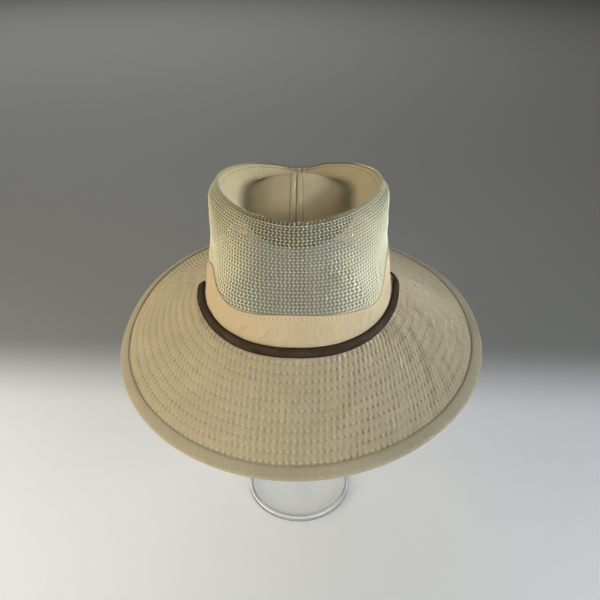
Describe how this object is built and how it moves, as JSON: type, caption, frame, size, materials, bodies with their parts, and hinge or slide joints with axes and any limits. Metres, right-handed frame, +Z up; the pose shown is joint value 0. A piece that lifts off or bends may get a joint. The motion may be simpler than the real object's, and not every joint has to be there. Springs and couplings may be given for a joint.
{
  "type": "safari hat on a display stand",
  "caption": "Wide-brimmed safari hat with a stitched cotton brim, a pinched crown of cotton and knitted mesh, and a leather band, held on a clear round-footed stand.",
  "frame": {"origin": "centre of the underside of the stand's round foot", "axes": "+Z up along the stand's post, -Y towards the front of the hat, +X towards the hat's left as worn"},
  "size_m": [0.3164, 0.3597, 0.3471],
  "materials": {
    "brim_twill": "khaki cotton twill, quilted in close rows of stitching, matt",
    "binding_twill": "khaki cotton twill tape folded over the brim's edge, matt",
    "wall_cotton": "smooth pale khaki cotton, matt",
    "knitted_mesh": "open knitted net of pale olive yarn, slightly shiny",
    "tip_cotton": "pale khaki cotton with a topstitched centre seam, matt",
    "band_leather": "dark brown leather, semi-matt",
    "clear_acrylic": "clear polished acrylic"
  },
  "bodies": {
    "root": {"brim": "brim_twill", "brim_binding": "binding_twill", "crown_wall_cotton": "wall_cotton", "crown_wall_mesh": "knitted_mesh", "crown_tip_left": "tip_cotton", "crown_tip_right": "tip_cotton", "hat_band": "band_leather", "stand_base": "clear_acrylic", "stand_post": "clear_acrylic", "stand_top": "clear_acrylic"}
  },
  "joints": []
}
